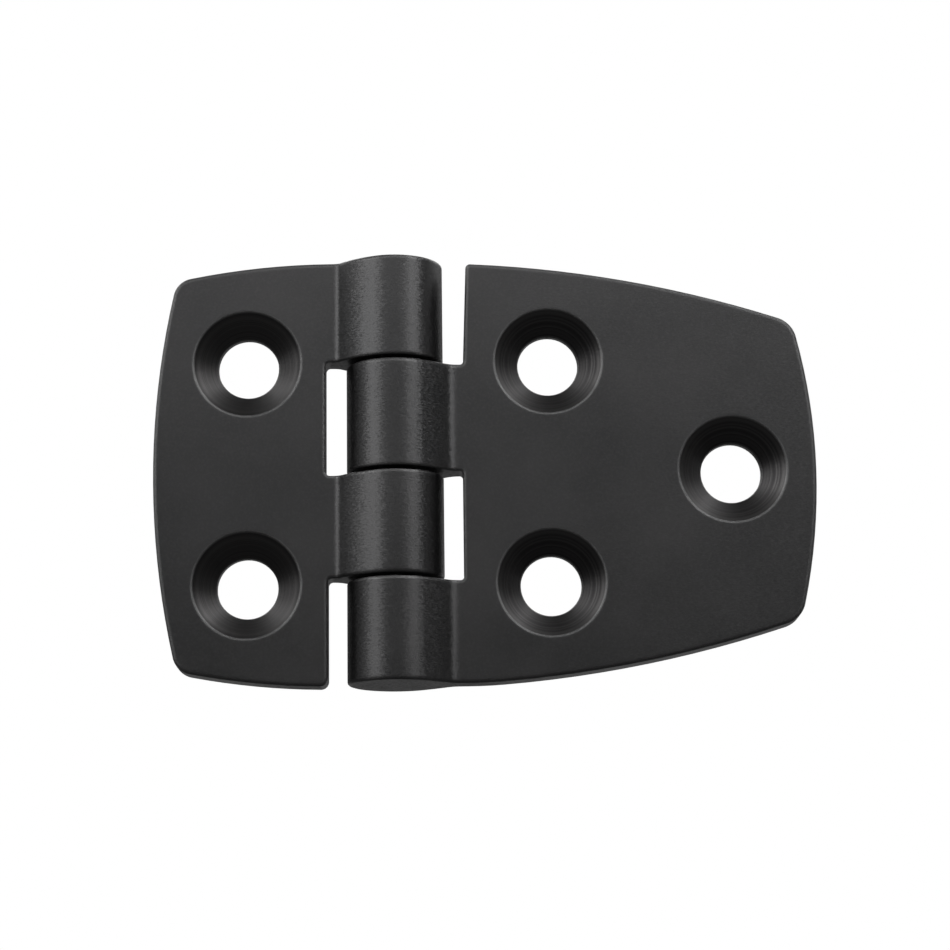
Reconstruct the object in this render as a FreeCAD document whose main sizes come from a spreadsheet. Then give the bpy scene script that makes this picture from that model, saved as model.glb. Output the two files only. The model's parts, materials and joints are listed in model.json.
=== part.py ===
"""Surface-mounted door hinge: two cast leaves that turn on a press-fitted pin.

Frame of the part: the pin axis is Z (up) and the origin is on it, level with
the middle of the screw rows.  X runs across the leaves, with the frame leaf
on -X and the door leaf on +X.  The countersunk faces look along -Y and the
flat backs along +Y.  All lengths are millimetres.
"""

import FreeCAD, Part
import math
import os
import Sketcher

DIMENSIONS = {
    # leaf outlines, seen from the countersunk side
    "leaf_thickness": 2.8,
    "frame_reach": 21.4,
    "frame_end_radius": 76.0,
    "frame_end_crest": 0.6,
    "frame_edge_radius": 64.5,
    "frame_edge_crest": 5.6,
    "door_reach": 37.3,
    "door_end_radius": 53.0,
    "door_top_radius": 102.0,
    "door_bottom_radius": 107.0,
    "door_edge_crest": 1.6,
    "door_blend_start": 6.2,
    "leaf_top": 19.2,
    "leaf_bottom": -18.97,
    "frame_corner_radius": 1.9,
    "door_corner_radius": 2.4,
    # slots in each leaf, each numbered after the other leaf's knuckle that it clears;
    # slot 1 widens a little towards its open end
    "slot_1_mouth": 6.43,
    "slot_1_edge": 6.1,
    "slot_2_edge": 6.15,
    "slot_3_edge": 6.0,
    "slot_4_edge": 5.95,
    "frame_mouth_radius": 0.7,
    "door_mouth_radius": 0.4,
    "frame_root_radius": 0.4,
    "door_root_radius": 0.3,
    # barrel and the webs that join it to the leaves
    "barrel_radius": 4.3,
    "frame_flank_start": 25.0,
    "frame_flank_radius": 9.6,
    "frame_web_fillet": 0.9,
    "door_flank_start": 35.0,
    "door_flank_radius": 25.0,
    "door_web_fillet": 1.5,
    "web_overlap": 4.6,
    # knuckle ends along the pin, from the top down, with running gaps of about 0.3
    "knuckle_1_low": 10.08,
    "knuckle_2_high": 9.78,
    "knuckle_2_low": 0.08,
    "knuckle_3_high": -0.26,
    "knuckle_3_low": -9.44,
    "knuckle_4_high": -9.72,
    "knuckle_4_low": -18.8,
    # pin and its bores: a press fit in the frame leaf, a running fit in the door leaf
    "pin_radius": 2.0,
    "running_bore_radius": 2.04,
    "pin_top": 19.05,
    "pin_bottom": -16.9,
    "pin_chamfer": 0.3,
    "bore_bottom": -17.1,
    # countersunk screw holes
    "screw_hole": 5.4,
    "sink_diameter": 9.6,
    "sink_angle": 90.0,
    "screw_row": 10.0,
    "frame_screw_reach": 13.1,
    "door_screw_reach": 13.7,
    "door_end_screw_reach": 29.9,
    # rounded edges
    "edge_rounding": 0.3,
    "slot_rounding": 0.2,
    "sink_rounding": 0.12,
    "bore_chamfer": 0.25,
}

# Lengths closer than SAME are equal; NEAR also allows for the slack in the box round a circle.
SAME = 1e-4
NEAR = 0.01
# Point of a sketch, as (geometry, point), that stands for its origin.
SKETCH_ORIGIN = (-1, 1)

doc = FreeCAD.newDocument("door_hinge")
sheet = doc.addObject("Spreadsheet::Sheet", "dims")
for row, (name, value) in enumerate(DIMENSIONS.items(), start=1):
    sheet.set("A%d" % row, name)
    sheet.set("B%d" % row, str(value))
    sheet.setAlias("B%d" % row, name)
doc.recompute()


def value(expression):
    """Number that an expression of the sheet's cells stands for."""
    return float(sheet.evalExpression(expression))


# ---------------------------------------------------------------- sketch tools


def new_body(label):
    body = doc.addObject("PartDesign::Body", label)
    body.Label = label
    body.Placement = FreeCAD.Placement()
    return body


def new_sketch(body, role, name, offset="0"):
    """Sketch on one of the body's own origin planes, moved along its normal."""
    sketch = body.newObject("Sketcher::SketchObject", name)
    plane = [p for p in body.Origin.OriginFeatures if p.Role == role][0]
    sketch.AttachmentSupport = [(plane, "")]
    sketch.MapMode = "FlatFace"
    sketch.setExpression("AttachmentOffset.Base.z", offset)
    return sketch


def tie(sketch, kind, *where):
    return sketch.addConstraint(Sketcher.Constraint(kind, *where))


def drive(sketch, expression, kind, *where):
    """Constraint whose number follows the sheet."""
    index = tie(sketch, kind, *where, value(expression))
    sketch.setExpression("Constraints[%d]" % index, expression)


def hold(sketch, where, x=None, y=None):
    """Hold a point of a sketch at the distances from the origin that the expressions give."""
    if x:
        drive(sketch, x, "DistanceX", *SKETCH_ORIGIN, *where)
    if y:
        drive(sketch, y, "DistanceY", *SKETCH_ORIGIN, *where)


class Outline:
    """Closed outline of lines and arcs in a sketch, drawn corner by corner."""

    def __init__(self, sketch, x, y):
        self.sketch = sketch
        self.here = (x, y)
        self.first = None
        self.last = None

    def _join(self, shape, begin, end, target, smooth):
        index = self.sketch.addGeometry(shape)
        if self.last:
            tie(self.sketch, "Tangent" if smooth else "Coincident", *self.last, index, begin)
        else:
            self.first = (index, begin)
        self.last = (index, end)
        self.here = target
        return index

    def line(self, x, y, smooth=False, tied=True):
        """Straight side to a point; a level or upright one is tied so, unless that is settled already."""
        start = FreeCAD.Vector(*self.here, 0)
        finish = FreeCAD.Vector(x, y, 0)
        index = self._join(Part.LineSegment(start, finish), 1, 2, (x, y), smooth)
        if smooth or not tied:
            return index
        if abs(start.y - y) < SAME:
            tie(self.sketch, "Horizontal", index)
        elif abs(start.x - x) < SAME:
            tie(self.sketch, "Vertical", index)
        return index

    def arc(self, x, y, centre, long_way=False, smooth=False):
        """Arc to a point about a centre, the short way round unless told otherwise."""
        first = math.atan2(self.here[1] - centre[1], self.here[0] - centre[0])
        last = math.atan2(y - centre[1], x - centre[0])
        clockwise = (math.remainder(last - first, 2 * math.pi) < 0) != long_way
        begin, end = (2, 1) if clockwise else (1, 2)
        if clockwise:
            first, last = last, first
        radius = math.hypot(x - centre[0], y - centre[1])
        circle = Part.Circle(FreeCAD.Vector(*centre, 0), FreeCAD.Vector(0, 0, 1), radius)
        return self._join(Part.ArcOfCircle(circle, first, last), begin, end, (x, y), smooth)

    def close(self):
        tie(self.sketch, "Coincident", *self.last, *self.first)


def crossing(centre_a, radius_a, centre_b, radius_b, upper):
    """Upper or lower crossing of two circles."""
    gap_x = centre_b[0] - centre_a[0]
    gap_y = centre_b[1] - centre_a[1]
    gap = math.hypot(gap_x, gap_y)
    along = (gap ** 2 + radius_a ** 2 - radius_b ** 2) / (2 * gap)
    across = math.sqrt(radius_a ** 2 - along ** 2)
    foot = (centre_a[0] + along * gap_x / gap, centre_a[1] + along * gap_y / gap)
    sides = [(foot[0] - s * across * gap_y / gap, foot[1] + s * across * gap_x / gap) for s in (1, -1)]
    return max(sides, key=lambda p: p[1] if upper else -p[1])


# ------------------------------------------------------------- leaf outlines


def notches(outline, x_cells, y_cells):
    """Barrel side of a leaf, bottom to top: upright and level sides between slot edge and web."""
    for number, (x_cell, y_cell) in enumerate(zip(x_cells, y_cells)):
        upright = outline.line(outline.here[0], value(y_cell))
        hold(outline.sketch, (upright, 2), y=y_cell)
        level = outline.line(value(x_cell), outline.here[1])
        hold(outline.sketch, (level, 2), x=x_cell if number < len(x_cells) - 1 else None)


def frame_outline(body):
    """Short leaf: three gently curved sides, notched for the door leaf's two knuckles."""
    sketch = new_sketch(body, "XZ_Plane", "frame_outline")
    edge = value("dims.frame_edge_radius")
    end = value("dims.frame_end_radius")
    crest, slot, web = "-dims.frame_edge_crest", "-dims.slot_4_edge", "-dims.web_overlap"
    low_centre = "dims.leaf_bottom + dims.frame_edge_radius"
    end_centre = "dims.frame_end_radius - dims.frame_reach"
    above = (value(crest), value("dims.leaf_top") - edge)
    below = (value(crest), value(low_centre))
    beside = (value(end_centre), value("dims.frame_end_crest"))

    outline = Outline(sketch, value(web), value("dims.leaf_top"))
    top = outline.line(value(crest), value("dims.leaf_top"))
    hold(sketch, (top, 1), web, "dims.leaf_top")
    hold(sketch, (top, 2), crest)
    upper = outline.arc(*crossing(above, edge, beside, end, upper=True), above, smooth=True)
    drive(sketch, "dims.frame_edge_radius", "Radius", upper)
    side = outline.arc(*crossing(below, edge, beside, end, upper=False), beside)
    drive(sketch, "dims.frame_end_radius", "Radius", side)
    hold(sketch, (side, 3), end_centre, "dims.frame_end_crest")
    mouth = below[1] - math.sqrt(edge ** 2 - (value(slot) - below[0]) ** 2)
    lower = outline.arc(value(slot), mouth, below)
    drive(sketch, "dims.frame_edge_radius", "Radius", lower)
    hold(sketch, (lower, 3), crest, low_centre)
    hold(sketch, outline.last, slot)
    levels = ["dims.knuckle_3_low", "dims.knuckle_3_high", "dims.knuckle_1_low"]
    notches(outline, [web, "-dims.slot_2_edge", web], levels)
    outline.line(value(web), value("dims.leaf_top"))
    outline.close()
    return sketch


def door_outline(body):
    """Long leaf: two edges that curve in to a narrower end, notched for the frame leaf's knuckles."""
    sketch = new_sketch(body, "XZ_Plane", "door_outline")
    top, bottom = value("dims.door_top_radius"), value("dims.door_bottom_radius")
    end = value("dims.door_end_radius")
    crest, slot, web = "dims.door_edge_crest", "dims.slot_1_mouth", "dims.web_overlap"
    high_centre = "dims.leaf_top - dims.door_top_radius"
    low_centre = "dims.leaf_bottom + dims.door_bottom_radius"
    end_centre = "dims.door_reach - dims.door_end_radius"
    above = (value(crest), value(high_centre))
    below = (value(crest), value(low_centre))
    beside = (value(end_centre), 0)

    mouth = above[1] + math.sqrt(top ** 2 - (value(slot) - above[0]) ** 2)
    outline = Outline(sketch, value(slot), mouth)
    upper = outline.arc(*crossing(above, top, beside, end, upper=True), above)
    drive(sketch, "dims.door_top_radius", "Radius", upper)
    hold(sketch, (upper, 3), crest, high_centre)
    hold(sketch, outline.first, slot)
    side = outline.arc(*crossing(below, bottom, beside, end, upper=False), beside)
    drive(sketch, "dims.door_end_radius", "Radius", side)
    hold(sketch, (side, 3), end_centre)
    tie(sketch, "PointOnObject", side, 3, -1)
    # The lower edge runs level into the barrel's end through a tighter arc.
    start = (value("dims.door_blend_start"), value("dims.knuckle_4_low"))
    rise = below[1] - start[1]
    blend = (bottom ** 2 - rise ** 2 - (start[0] - below[0]) ** 2) / (2 * (bottom - rise))
    blend_centre = (start[0], start[1] + blend)
    reach = bottom / (bottom - blend)
    foot = [below[i] + reach * (blend_centre[i] - below[i]) for i in (0, 1)]
    lower = outline.arc(*foot, below)
    drive(sketch, "dims.door_bottom_radius", "Radius", lower)
    hold(sketch, (lower, 3), crest, low_centre)
    outline.arc(*start, blend_centre, smooth=True)
    hold(sketch, outline.last, "dims.door_blend_start")
    level = outline.line(value(web), start[1], smooth=True)
    tie(sketch, "Horizontal", level)
    hold(sketch, (level, 2), web, "dims.knuckle_4_low")
    levels = ["dims.knuckle_4_high", "dims.knuckle_2_low", "dims.knuckle_2_high"]
    notches(outline, ["dims.slot_3_edge", web, "dims.slot_1_edge"], levels)
    hold(sketch, outline.last, "dims.slot_1_edge")
    outline.line(value(slot), mouth, tied=False)
    outline.close()
    return sketch


# ------------------------------------------------------------- solid features


def pad(body, sketch, name, length, centred=False):
    feature = body.newObject("PartDesign::Pad", name)
    feature.Profile = sketch
    feature.setExpression("Length", length)
    feature.Midplane = centred
    feature.Refine = True
    doc.recompute()
    return feature


def rounded(body, base, name, radius, chosen):
    """Fillet on the edges of the base feature that a test picks."""
    feature = body.newObject("PartDesign::Fillet", name)
    edges = ["Edge%d" % n for n, edge in enumerate(base.Shape.Edges, start=1) if chosen(edge)]
    feature.Base = (base, edges)
    feature.setExpression("Radius", radius)
    feature.Refine = True
    doc.recompute()
    return feature


def is_through_edge(edge):
    """True for an edge that runs straight through the leaf's thickness."""
    return edge.BoundBox.XLength < SAME and edge.BoundBox.ZLength < SAME


def round_corners(body, plate, leaf, slot_cells, mouth_side):
    """Round a leaf's two outer corners, the open end of its slot and the slots' inner corners."""
    outer_x = value("dims.frame_screw_reach")
    # Every inner corner of a slot lies nearer the middle than this.
    mouth_z = value("dims.screw_row + dims.sink_diameter / 2")
    slot_edges = [value(cell) for cell in slot_cells]

    def is_outer(edge):
        return is_through_edge(edge) and abs(edge.BoundBox.XMin) > outer_x

    def is_slot(edge):
        return is_through_edge(edge) and any(abs(edge.BoundBox.XMin - x) < SAME for x in slot_edges)

    def is_mouth(edge):
        return is_slot(edge) and edge.BoundBox.ZMin * mouth_side > mouth_z

    def is_root(edge):
        return is_slot(edge) and not is_mouth(edge)

    outer = rounded(body, plate, body.Label + "_corners", "dims.%s_corner_radius" % leaf, is_outer)
    root = rounded(body, outer, body.Label + "_slot_roots", "dims.%s_root_radius" % leaf, is_root)
    return rounded(body, root, body.Label + "_slot_mouth", "dims.%s_mouth_radius" % leaf, is_mouth)


def knuckle(body, number, leaf, side):
    """Barrel length with its two arched flanks and the concave webs that run out into the leaf."""
    low = "dims.knuckle_%d_low" % number
    high = "dims.leaf_top" if number == 1 else "dims.knuckle_%d_high" % number
    names = ("flank_start", "flank_radius", "web_fillet")
    start, flank_cell, web_cell = ("dims.%s_%s" % (leaf, name) for name in names)
    sketch = new_sketch(body, "XY_Plane", "knuckle_%d_section" % number, low)
    barrel, flank, fillet = value("dims.barrel_radius"), value(flank_cell), value(web_cell)
    half = value("dims.leaf_thickness / 2")
    lean = math.radians(value(start))
    # Each flank leaves the barrel at the start angle, on a larger circle that touches it there.
    touch = (side * barrel * math.sin(lean), barrel * math.cos(lean))
    flank_x, flank_y = (c * (barrel - flank) / barrel for c in touch)
    # The web's circle touches the flank's from outside, and the leaf's face.
    centre_y = half + fillet
    centre_x = flank_x + side * math.sqrt((flank + fillet) ** 2 - (centre_y - flank_y) ** 2)
    share = flank / (flank + fillet)
    foot = (flank_x + share * (centre_x - flank_x), flank_y + share * (centre_y - flank_y))

    outline = Outline(sketch, centre_x, half)
    back_web = outline.arc(*foot, (centre_x, centre_y))
    back_flank = outline.arc(*touch, (flank_x, flank_y), smooth=True)
    barrel_arc = outline.arc(touch[0], -touch[1], (0, 0), long_way=True, smooth=True)
    front_flank = outline.arc(foot[0], -foot[1], (flank_x, -flank_y), smooth=True)
    front_web = outline.arc(centre_x, -half, (centre_x, -centre_y), smooth=True)
    front_tip = outline.last
    outline.line(centre_x, half, tied=False)
    outline.close()

    tie(sketch, "Coincident", barrel_arc, 3, *SKETCH_ORIGIN)
    drive(sketch, "dims.barrel_radius", "Radius", barrel_arc)
    touch_x = "%d * dims.barrel_radius * sin(%s * 1 deg)" % (side, start)
    hold(sketch, (barrel_arc, 1), touch_x)
    hold(sketch, (barrel_arc, 2), touch_x)
    for arc in (back_flank, front_flank):
        drive(sketch, flank_cell, "Radius", arc)
    back_end = (back_web, outline.first, "dims.leaf_thickness / 2")
    front_end = (front_web, front_tip, "-dims.leaf_thickness / 2")
    for web, tip, level in (back_end, front_end):
        drive(sketch, web_cell, "Radius", web)
        tie(sketch, "Vertical", web, 3, *tip)
        hold(sketch, tip, y=level)
    return pad(body, sketch, "knuckle_%d" % number, "%s - %s" % (high, low))


def round_rims(body, base, slot_low, slot_high):
    """Ease every sharp rim of a leaf, finely round the closed slot and more along the outside."""
    # Upright edges nearer the pin than the slots' edges are seams between smooth faces of a knuckle.
    seam_x = value("dims.slot_4_edge") - SAME

    def is_rim(edge):
        box = edge.BoundBox
        along_pin = box.XLength < SAME and box.YLength < SAME
        return not is_through_edge(edge) and not (along_pin and abs(box.XMin) < seam_x)

    def in_slot(edge):
        box = edge.BoundBox
        low, high = value(slot_low) - SAME, value(slot_high) + SAME
        return is_rim(edge) and low < box.ZMin and box.ZMax < high

    def outside(edge):
        return is_rim(edge) and not in_slot(edge)

    inner = rounded(body, base, body.Label + "_slot_rim", "dims.slot_rounding", in_slot)
    return rounded(body, inner, body.Label + "_outer_rim", "dims.edge_rounding", outside)


def screw_holes(body, places):
    """Countersunk holes sunk from the front face at (x, z) places."""
    sketch = new_sketch(body, "XZ_Plane", body.Label + "_hole_centres", "dims.leaf_thickness / 2")
    for x, z in places:
        spot = FreeCAD.Vector(value(x), value(z), 0)
        circle = Part.Circle(spot, FreeCAD.Vector(0, 0, 1), value("dims.screw_hole / 2"))
        index = sketch.addGeometry(circle)
        drive(sketch, "dims.screw_hole", "Diameter", index)
        hold(sketch, (index, 3), x)
        if z == "0":
            tie(sketch, "PointOnObject", index, 3, -1)
        else:
            hold(sketch, (index, 3), y=z)
    doc.recompute()
    hole = body.newObject("PartDesign::Hole", body.Label + "_screw_holes")
    hole.Profile = sketch
    hole.DepthType = "ThroughAll"
    hole.setExpression("Diameter", "dims.screw_hole")
    hole.HoleCutType = "Countersink"
    hole.setExpression("HoleCutDiameter", "dims.sink_diameter")
    hole.setExpression("HoleCutCountersinkAngle", "dims.sink_angle")
    doc.recompute()
    front = -value("dims.leaf_thickness / 2")
    sink = value("dims.sink_diameter")

    def is_sink_rim(edge):
        box = edge.BoundBox
        return abs(box.YMax - front) < SAME and max(abs(box.XLength - sink), abs(box.ZLength - sink)) < NEAR

    return rounded(body, hole, body.Label + "_sink_rims", "dims.sink_rounding", is_sink_rim)


def pin_bore(body, radius, top, bottom):
    """Bore for the pin, from a level above the leaf's upper knuckle down to its floor."""
    sketch = new_sketch(body, "XY_Plane", body.Label + "_bore_section", top)
    circle = Part.Circle(FreeCAD.Vector(0, 0, 0), FreeCAD.Vector(0, 0, 1), value(radius))
    index = sketch.addGeometry(circle)
    tie(sketch, "Coincident", index, 3, *SKETCH_ORIGIN)
    drive(sketch, radius, "Radius", index)
    doc.recompute()
    bore = body.newObject("PartDesign::Pocket", body.Label + "_pin_bore")
    bore.Profile = sketch
    bore.setExpression("Length", "%s - %s" % (top, bottom))
    doc.recompute()
    return bore


# ---------------------------------------------------------------- the pieces


def is_bore_mouth(edge):
    """True for the circle where the pin's bore opens in the barrel's top end."""
    box = edge.BoundBox
    at_top = abs(box.ZMin - value("dims.leaf_top")) < SAME and box.ZLength < SAME
    return at_top and abs(box.XLength - value("2 * dims.pin_radius")) < NEAR


def build_frame_leaf():
    """Leaf screwed to the fixed frame: knuckles 1 and 3 hold the pin tight."""
    body = new_body("frame_leaf")
    plate = pad(body, frame_outline(body), "frame_plate", "dims.leaf_thickness", centred=True)
    slots = ["-dims.slot_2_edge", "-dims.slot_4_edge"]
    round_corners(body, plate, "frame", slots, mouth_side=-1)
    knuckle(body, 1, "frame", side=-1)
    fused = knuckle(body, 3, "frame", side=-1)
    round_rims(body, fused, "dims.knuckle_3_high", "dims.knuckle_1_low")
    x = "-dims.frame_screw_reach"
    screw_holes(body, [(x, "dims.screw_row"), (x, "-dims.screw_row")])
    bore = pin_bore(body, "dims.pin_radius", "dims.leaf_top", "dims.knuckle_3_low")
    chamfer = body.newObject("PartDesign::Chamfer", "frame_bore_mouth")
    chamfer.Base = (bore, ["Edge%d" % n for n, e in enumerate(bore.Shape.Edges, start=1) if is_bore_mouth(e)])
    chamfer.setExpression("Size", "dims.bore_chamfer")
    return body


def build_door_leaf():
    """Leaf screwed to the door: knuckles 2 and 4 turn on the pin, and knuckle 4 is closed below."""
    body = new_body("door_leaf")
    plate = pad(body, door_outline(body), "door_plate", "dims.leaf_thickness", centred=True)
    slots = ["dims.slot_1_mouth", "dims.slot_1_edge", "dims.slot_3_edge"]
    round_corners(body, plate, "door", slots, mouth_side=1)
    knuckle(body, 2, "door", side=1)
    fused = knuckle(body, 4, "door", side=1)
    round_rims(body, fused, "dims.knuckle_4_high", "dims.knuckle_2_low")
    x = "dims.door_screw_reach"
    screw_holes(body, [(x, "dims.screw_row"), (x, "-dims.screw_row"), ("dims.door_end_screw_reach", "0")])
    pin_bore(body, "dims.running_bore_radius", "dims.knuckle_2_high", "dims.bore_bottom")
    return body


def build_pin():
    """Plain round pin with chamfered ends, turned about the hinge axis."""
    body = new_body("hinge_pin")
    sketch = new_sketch(body, "XZ_Plane", "pin_half_section")
    radius, chamfer = value("dims.pin_radius"), value("dims.pin_chamfer")
    top, bottom = value("dims.pin_top"), value("dims.pin_bottom")
    outline = Outline(sketch, 0, bottom)
    floor = outline.line(radius - chamfer, bottom)
    outline.line(radius, bottom + chamfer)
    outline.line(radius, top - chamfer)
    outline.line(radius - chamfer, top)
    outline.line(0, top)
    outline.line(0, bottom)
    outline.close()
    tie(sketch, "PointOnObject", floor, 1, -2)
    hold(sketch, (floor, 1), y="dims.pin_bottom")
    hold(sketch, (floor, 2), "dims.pin_radius - dims.pin_chamfer")
    hold(sketch, (floor + 1, 2), "dims.pin_radius", "dims.pin_bottom + dims.pin_chamfer")
    hold(sketch, (floor + 2, 2), y="dims.pin_top - dims.pin_chamfer")
    hold(sketch, (floor + 3, 2), "dims.pin_radius - dims.pin_chamfer", "dims.pin_top")
    doc.recompute()
    turned = body.newObject("PartDesign::Revolution", "pin_turned")
    turned.Profile = sketch
    turned.ReferenceAxis = (sketch, ["V_Axis"])
    turned.Angle = 360
    return body


pieces = [build_frame_leaf(), build_door_leaf(), build_pin()]
doc.recompute()

for item in doc.Objects:
    if "Invalid" in item.State or "Error" in item.State:
        raise RuntimeError("failed: " + item.Name)
    if item.TypeId == "Sketcher::SketchObject" and not item.FullyConstrained:
        raise RuntimeError("loose sketch: " + item.Name)
for piece in pieces:
    if piece.Shape.isNull() or not piece.Shape.isValid() or len(piece.Shape.Solids) != 1:
        raise RuntimeError("bad solid: " + piece.Label)

os.makedirs("parts", exist_ok=True)
for piece in pieces:
    piece.Shape.exportStep("parts/%s.step" % piece.Label)
    print("%s %.1f mm3" % (piece.Label, piece.Shape.Volume))
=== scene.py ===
"""Looks of the door hinge: satin black leaves and a steel pin, in a pale studio."""

import json
import math

import bpy
from mathutils import Matrix, Vector

MM = 0.001
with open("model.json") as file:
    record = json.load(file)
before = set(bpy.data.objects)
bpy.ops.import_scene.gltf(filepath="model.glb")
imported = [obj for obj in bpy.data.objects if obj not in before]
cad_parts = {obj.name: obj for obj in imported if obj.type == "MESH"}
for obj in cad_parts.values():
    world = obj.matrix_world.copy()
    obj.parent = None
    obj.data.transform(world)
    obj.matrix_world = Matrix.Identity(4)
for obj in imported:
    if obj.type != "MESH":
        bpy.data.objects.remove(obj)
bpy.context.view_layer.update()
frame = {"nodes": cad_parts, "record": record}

# Camera, in the hinge's frame: it looks up at the front. Lengths are millimetres and angles degrees.
CAMERA_AT = (4.9, -243.6, -51.7)
CAMERA_UP = 11.97
CAMERA_SIDE = 0.5
CAMERA_ROLL = 0.6
CAMERA_LENS = 106.2
SENSOR = 36.0

# Countersinks, in millimetres: the rim's radius, and the levels along Y of the leaves' front face and of
# the sinks' inner ends.
SINK_RADIUS = 4.8
FRONT_FACE = -1.4
SINK_FLOOR = 0.7
# The turned finish reaches this far past the rim's radius, stops this far outside the hole's, and fades
# in between these two depths under the front face.
SINK_MARGIN = 0.1
HOLE_MARGIN = 0.05
RIM_FADE = (0.03, 0.09)

# Finish of the leaves: how far edges are worn round and lightened (partly wear, partly a painted
# highlight), how deep the grain is, and how the gloss spreads.
WORN_AND_HIGHLIGHT_RADIUS = 0.35
GRAIN_DEPTH = 0.012
BRUSHED_ANISOTROPY = 0.65
SINK_ROUGHNESS = 0.36

# Soft boxes: name, azimuth and elevation in degrees, then distance, width and height in metres, and
# radiance. Azimuth 0 is the camera's side, and it grows to the right.
STUDIO_GREY = 0.085
SOFTBOXES = (
    ("left_box", -52, 26, 0.42, 0.25, 0.26, 3.6),
    ("right_box", 50, 35, 0.42, 0.20, 0.26, 2.9),
    ("left_fill", -96, 22, 0.42, 0.46, 0.35, 0.5),
    ("right_fill", 104, 15, 0.5, 0.30, 0.4, 0.5),
    ("top_box", 18, 47, 0.13, 0.20, 0.08, 1.98),
    ("low_back_box", 180, -16, 0.6, 0.50, 0.20, 0.22),
    ("back_side_box", 138, -8, 0.6, 0.35, 0.30, 1.0),
    ("back_left_box", -142, 38, 0.6, 0.45, 0.30, 2.2),
    ("back_right_box", 146, 38, 0.6, 0.45, 0.30, 2.2),
)
FLOOR_SIZE = 6.0
FLOOR_LEVEL = -0.2


class Graph:
    """Short names for building a material's nodes."""

    def __init__(self, tree):
        self.tree = tree

    def node(self, kind, **settings):
        node = self.tree.nodes.new(kind)
        for name, setting in settings.items():
            setattr(node, name, setting)
        return node

    def feed(self, socket, source):
        if isinstance(source, bpy.types.NodeSocket):
            self.tree.links.new(source, socket)
        else:
            socket.default_value = source

    def math(self, operation, first, second):
        node = self.node("ShaderNodeMath", operation=operation)
        self.feed(node.inputs[0], first)
        self.feed(node.inputs[1], second)
        return node.outputs[0]

    def weigh(self, *pairs):
        """Sum of sources, each times its weight."""
        total = None
        for source, weight in pairs:
            part = self.math("MULTIPLY", source, weight)
            total = part if total is None else self.math("ADD", total, part)
        return total

    def vector(self, operation, first, second=None, scale=None):
        """Vector operation, of which a length or a dot product gives a number."""
        node = self.node("ShaderNodeVectorMath", operation=operation)
        self.feed(node.inputs[0], first)
        if second is not None:
            self.feed(node.inputs[1], second)
        if scale is not None:
            self.feed(node.inputs["Scale"], scale)
        return node.outputs["Value" if operation in ("LENGTH", "DOT_PRODUCT") else "Vector"]

    def split(self, vector):
        node = self.node("ShaderNodeSeparateXYZ")
        self.feed(node.inputs[0], vector)
        return node.outputs

    def combine(self, x, y, z):
        node = self.node("ShaderNodeCombineXYZ")
        for socket, source in zip(node.inputs, (x, y, z)):
            self.feed(socket, source)
        return node.outputs[0]

    def noise(self, vector, scale, detail, rough, output="Fac"):
        node = self.node("ShaderNodeTexNoise")
        self.feed(node.inputs["Vector"], vector)
        node.inputs["Scale"].default_value = scale
        node.inputs["Detail"].default_value = detail
        node.inputs["Roughness"].default_value = rough
        return node.outputs[output]

    def centred(self, vector, spread):
        """Random vector about zero, as long in each direction as the spread says."""
        colour = self.noise(vector, 1.0, 2.0, 0.6, output="Color")
        return self.vector("MULTIPLY", self.vector("SUBTRACT", colour, (0.5, 0.5, 0.5)), spread)

    def remap(self, value, low, high, to_low=0.0, to_high=1.0):
        node = self.node("ShaderNodeMapRange", clamp=True)
        self.feed(node.inputs["Value"], value)
        bounds = {"From Min": low, "From Max": high, "To Min": to_low, "To Max": to_high}
        for name, number in bounds.items():
            self.feed(node.inputs[name], number)
        return node.outputs["Result"]

    def mix(self, factor, first, second):
        """Number between two numbers."""
        node = self.node("ShaderNodeMix", data_type="FLOAT")
        for place, source in zip((0, 2, 3), (factor, first, second)):
            self.feed(node.inputs[place], source)
        return node.outputs[0]

    def blend(self, factor, first, second):
        """Colour or vector between two."""
        node = self.node("ShaderNodeMix", data_type="RGBA")
        for place, source in zip((0, 6, 7), (factor, first, second)):
            self.feed(node.inputs[place], (*source, 1) if isinstance(source, tuple) else source)
        return node.outputs[2]

    def bump(self, height, distance, normal=None):
        node = self.node("ShaderNodeBump")
        node.inputs["Strength"].default_value = 1.0
        node.inputs["Distance"].default_value = distance * MM
        self.feed(node.inputs["Height"], height)
        if normal is not None:
            self.feed(node.inputs["Normal"], normal)
        return node.outputs["Normal"]


def screw_holes():
    """Centres (x, z) and radius of the screw holes, in millimetres, from the record's mounts."""
    mounts = {mount["name"]: mount for mount in frame["record"]["mounts"]}
    centres = []
    for pair in (mounts["frame_screws"], mounts["door_screws"]):
        x, _, z = (place / MM for place in pair["pos_m"])
        half = pair["dims"]["spacing_y_mm"] / 2
        centres += [(x, z + half), (x, z - half)]
    x, _, z = (place / MM for place in mounts["door_end_screw"]["pos_m"])
    return [*centres, (x, z)], mounts["door_end_screw"]["dims"]["r_mm"]


def new_material(name):
    """Metal material, with its graph, its shader and the place on the object in millimetres."""
    material = bpy.data.materials.new(name)
    material.use_nodes = True
    shader = material.node_tree.nodes["Principled BSDF"]
    shader.inputs["Metallic"].default_value = 1.0
    graph = Graph(material.node_tree)
    place = graph.node("ShaderNodeTexCoord").outputs["Object"]
    return material, graph, shader, graph.vector("SCALE", place, scale=1 / MM)


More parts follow.
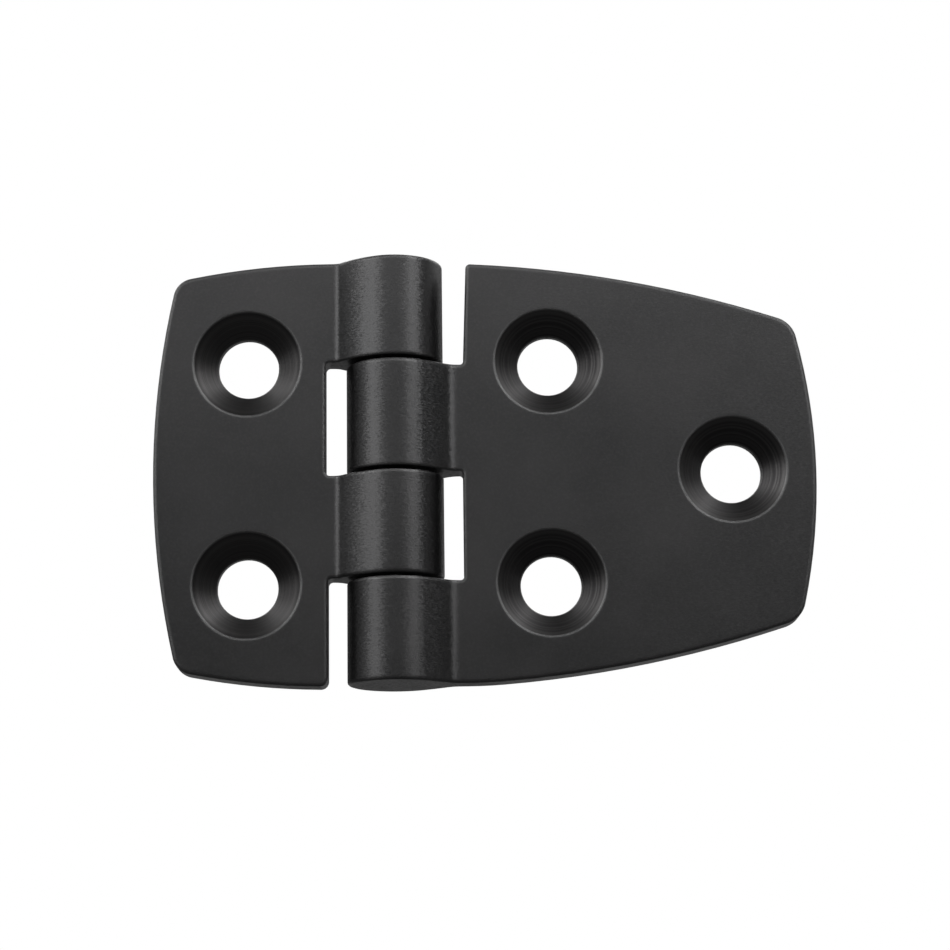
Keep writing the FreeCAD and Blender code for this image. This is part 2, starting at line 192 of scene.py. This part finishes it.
def sink_place(g, here):
    """Place about the nearest screw hole, outward direction and radius, and 1 inside a countersink."""
    x, y, z = g.split(here)
    level = g.combine(x, 0.0, z)
    holes, hole_radius = screw_holes()
    about = None
    for centre_x, centre_z in holes:
        offset = g.vector("SUBTRACT", level, (centre_x, 0.0, centre_z))
        inside = g.math("LESS_THAN", g.vector("LENGTH", offset), SINK_RADIUS + SINK_MARGIN)
        part = g.vector("SCALE", offset, scale=inside)
        about = part if about is None else g.vector("ADD", about, part)
    radius = g.vector("LENGTH", about)
    below_face = g.remap(y, *(FRONT_FACE + fade for fade in RIM_FADE))
    between = g.math("MULTIPLY", below_face, g.math("LESS_THAN", y, SINK_FLOOR))
    in_sink = g.math("MULTIPLY", g.math("GREATER_THAN", radius, hole_radius + HOLE_MARGIN), between)
    return about, g.vector("NORMALIZE", about), radius, in_sink


def cone_normal(g, outward, turned):
    """Normal of a countersink's 45 degree wall, tilted by the turned rings."""
    tilt = g.vector("SCALE", outward, scale=g.math("SUBTRACT", turned, 0.5))
    cone = g.vector("ADD", g.vector("SUBTRACT", (0.0, -1.0, 0.0), outward), tilt)
    to_world = g.node("ShaderNodeVectorTransform", vector_type="NORMAL")
    to_world.convert_from, to_world.convert_to = "OBJECT", "WORLD"
    g.feed(to_world.inputs[0], cone)
    return to_world.outputs[0]


def satin_black(name, seed):
    """Black finish over brushed metal, with turned rings in the countersinks."""
    material, g, shader, here = new_material(name)
    about, outward, radius, in_sink = sink_place(g, here)

    # The seed shifts the patterns, so that the two leaves differ.
    shifted = g.vector("ADD", here, (seed, 0.0, seed))
    streaks = g.noise(g.vector("MULTIPLY", shifted, (0.7, 0.7, 6.0)), 1.0, 3.0, 0.6)
    grain = g.noise(shifted, 4.5, 3.0, 0.65)
    cloud = g.noise(shifted, 0.09, 3.0, 0.55)
    rings = g.noise(g.combine(radius, 0.0, seed), 6.5, 2.0, 0.7)
    ring_fine = g.noise(g.combine(radius, 3.0, seed), 17.0, 1.0, 0.5)
    turned = g.weigh((rings, 0.55), (ring_fine, 0.45))

    # Edges are worn soft, the brushing leaves the faces a little uneven, and the sinks are turned.
    bevelled_edges = g.node("ShaderNodeBevel", samples=6)
    bevelled_edges.inputs["Radius"].default_value = WORN_AND_HIGHLIGHT_RADIUS * MM
    flat = g.node("ShaderNodeNewGeometry").outputs["Normal"]
    # Mask for the lighter edges: partly worn edges, partly a painted highlight along every rounded edge,
    # concave ones too.
    edge_wear_and_highlight = g.math("SUBTRACT", 1.0, g.vector("DOT_PRODUCT", bevelled_edges.outputs["Normal"], flat))
    uneven = g.centred(g.vector("MULTIPLY", shifted, (3.4, 3.4, 9.0)), (0.46, 0.46, 0.09))
    face = g.vector("ADD", bevelled_edges.outputs["Normal"], uneven)
    shaped = g.vector("NORMALIZE", g.blend(in_sink, face, cone_normal(g, outward, turned)))
    brushed = g.weigh((streaks, 0.05), (grain, 0.6))
    g.feed(shader.inputs["Normal"], g.bump(brushed, GRAIN_DEPTH, shaped))

    # Gloss spreads across the brush marks, which run level, and across the turned rings.
    from_hole = g.vector("SCALE", about, scale=g.math("MULTIPLY", in_sink, 50.0))
    across = g.vector("ADD", (0.0, 0.0, 1.0), from_hole)
    g.feed(shader.inputs["Tangent"], g.vector("NORMALIZE", across))
    shader.inputs["Anisotropic"].default_value = BRUSHED_ANISOTROPY

    tone = g.blend(g.remap(cloud, 0.3, 0.7), (0.070, 0.070, 0.071), (0.086, 0.085, 0.086))
    tone = g.blend(g.remap(grain, 0.45, 0.75, 0.0, 0.28), tone, (0.12, 0.12, 0.121))
    sink_tone = g.blend(g.remap(turned, 0.35, 0.65), (0.040, 0.038, 0.040), (0.105, 0.103, 0.102))
    tone = g.blend(in_sink, tone, sink_tone)
    # Edges are lightened towards grey: partly wear, partly a painted edge highlight.
    tone = g.blend(g.remap(edge_wear_and_highlight, 0.002, 0.05, 0.0, 0.8), tone, (0.23, 0.23, 0.23))
    g.feed(shader.inputs["Base Color"], tone)
    rough = g.remap(g.weigh((cloud, 0.6), (grain, 0.4)), 0.3, 0.7, 0.40, 0.48)
    g.feed(shader.inputs["Roughness"], g.mix(in_sink, rough, SINK_ROUGHNESS))
    return material


def ground_steel(name):
    """Ground pin: bright bands round it, and a darker oiled film."""
    material, g, shader, here = new_material(name)
    bands = g.noise(g.vector("MULTIPLY", here, (0.5, 0.5, 14.0)), 1.0, 3.0, 0.6)
    film = g.noise(here, 0.5, 3.0, 0.6)
    g.feed(shader.inputs["Normal"], g.bump(bands, 0.006))
    tone = g.blend(g.remap(film, 0.35, 0.65), (0.25, 0.25, 0.255), (0.38, 0.375, 0.37))
    g.feed(shader.inputs["Base Color"], tone)
    g.feed(shader.inputs["Roughness"], g.remap(bands, 0.3, 0.7, 0.24, 0.4))
    return material


def pale_floor():
    """Even pale surface that glows by itself, so that the soft boxes leave no edges on it."""
    material = bpy.data.materials.new("floor_pale")
    material.use_nodes = True
    shader = material.node_tree.nodes["Principled BSDF"]
    shader.inputs["Base Color"].default_value = (0.02, 0.02, 0.02, 1)
    shader.inputs["Roughness"].default_value = 0.7
    shader.inputs["Emission Color"].default_value = (1, 1, 1, 1)
    shader.inputs["Emission Strength"].default_value = 0.83
    return material


def add_camera():
    """Camera that looks along +Y, turned up, aside and round by its three angles."""
    data = bpy.data.cameras.new("camera")
    data.sensor_width = SENSOR
    data.lens = CAMERA_LENS
    camera = bpy.data.objects.new("camera", data)
    bpy.context.scene.collection.objects.link(camera)
    up, side, roll = (math.radians(a) for a in (CAMERA_UP, CAMERA_SIDE, CAMERA_ROLL))
    aim = Matrix.Rotation(math.pi / 2, 4, "X") @ (
        Matrix.Rotation(up, 4, "X") @ Matrix.Rotation(-side, 4, "Y") @ Matrix.Rotation(-roll, 4, "Z")
    )
    camera.matrix_world = Matrix.Translation(Vector(CAMERA_AT) * MM) @ aim
    bpy.context.scene.camera = camera


def add_softbox(name, azimuth, elevation, distance, width, height, radiance):
    """Area light aimed at the hinge, which the camera doesn't see."""
    data = bpy.data.lights.new(name, "AREA")
    data.shape = "RECTANGLE"
    data.size, data.size_y = width, height
    data.energy = radiance * math.pi * width * height
    light = bpy.data.objects.new(name, data)
    bpy.context.scene.collection.objects.link(light)
    a, e = math.radians(azimuth), math.radians(elevation)
    back = Vector((math.sin(a) * math.cos(e), -math.cos(a) * math.cos(e), math.sin(e)))
    light.location = back * distance
    light.rotation_mode = "QUATERNION"
    light.rotation_quaternion = (-back).to_track_quat("-Z", "Y")
    light.visible_camera = False


def add_world(studio_grey):
    """White behind the object, and a dim grey room in its reflections."""
    world = bpy.data.worlds.new("studio")
    bpy.context.scene.world = world
    world.use_nodes = True
    world.node_tree.nodes.clear()
    g = Graph(world.node_tree)
    room = g.node("ShaderNodeBackground")
    room.inputs["Color"].default_value = (studio_grey, studio_grey, studio_grey, 1)
    white = g.node("ShaderNodeBackground")
    white.inputs["Color"].default_value = (1, 1, 1, 1)
    mix = g.node("ShaderNodeMixShader")
    g.feed(mix.inputs[0], g.node("ShaderNodeLightPath").outputs["Is Camera Ray"])
    g.feed(mix.inputs[1], room.outputs[0])
    g.feed(mix.inputs[2], white.outputs[0])
    g.feed(g.node("ShaderNodeOutputWorld").inputs["Surface"], mix.outputs[0])


add_camera()
add_world(STUDIO_GREY)
for softbox in SOFTBOXES:
    add_softbox(*softbox)
bpy.context.scene.view_settings.view_transform = "Standard"

FINISHES = {
    "frame_leaf": satin_black("frame_leaf_black", 3.0),
    "door_leaf": satin_black("door_leaf_black", 11.0),
    "hinge_pin": ground_steel("hinge_pin_steel"),
}
for name, finish in FINISHES.items():
    frame["nodes"][name].data.materials[0] = finish

bpy.ops.mesh.primitive_plane_add(size=FLOOR_SIZE, location=(0, 0, FLOOR_LEVEL))
floor = bpy.context.object
floor.name = "floor"
floor.visible_glossy = False
floor.data.materials.append(pale_floor())
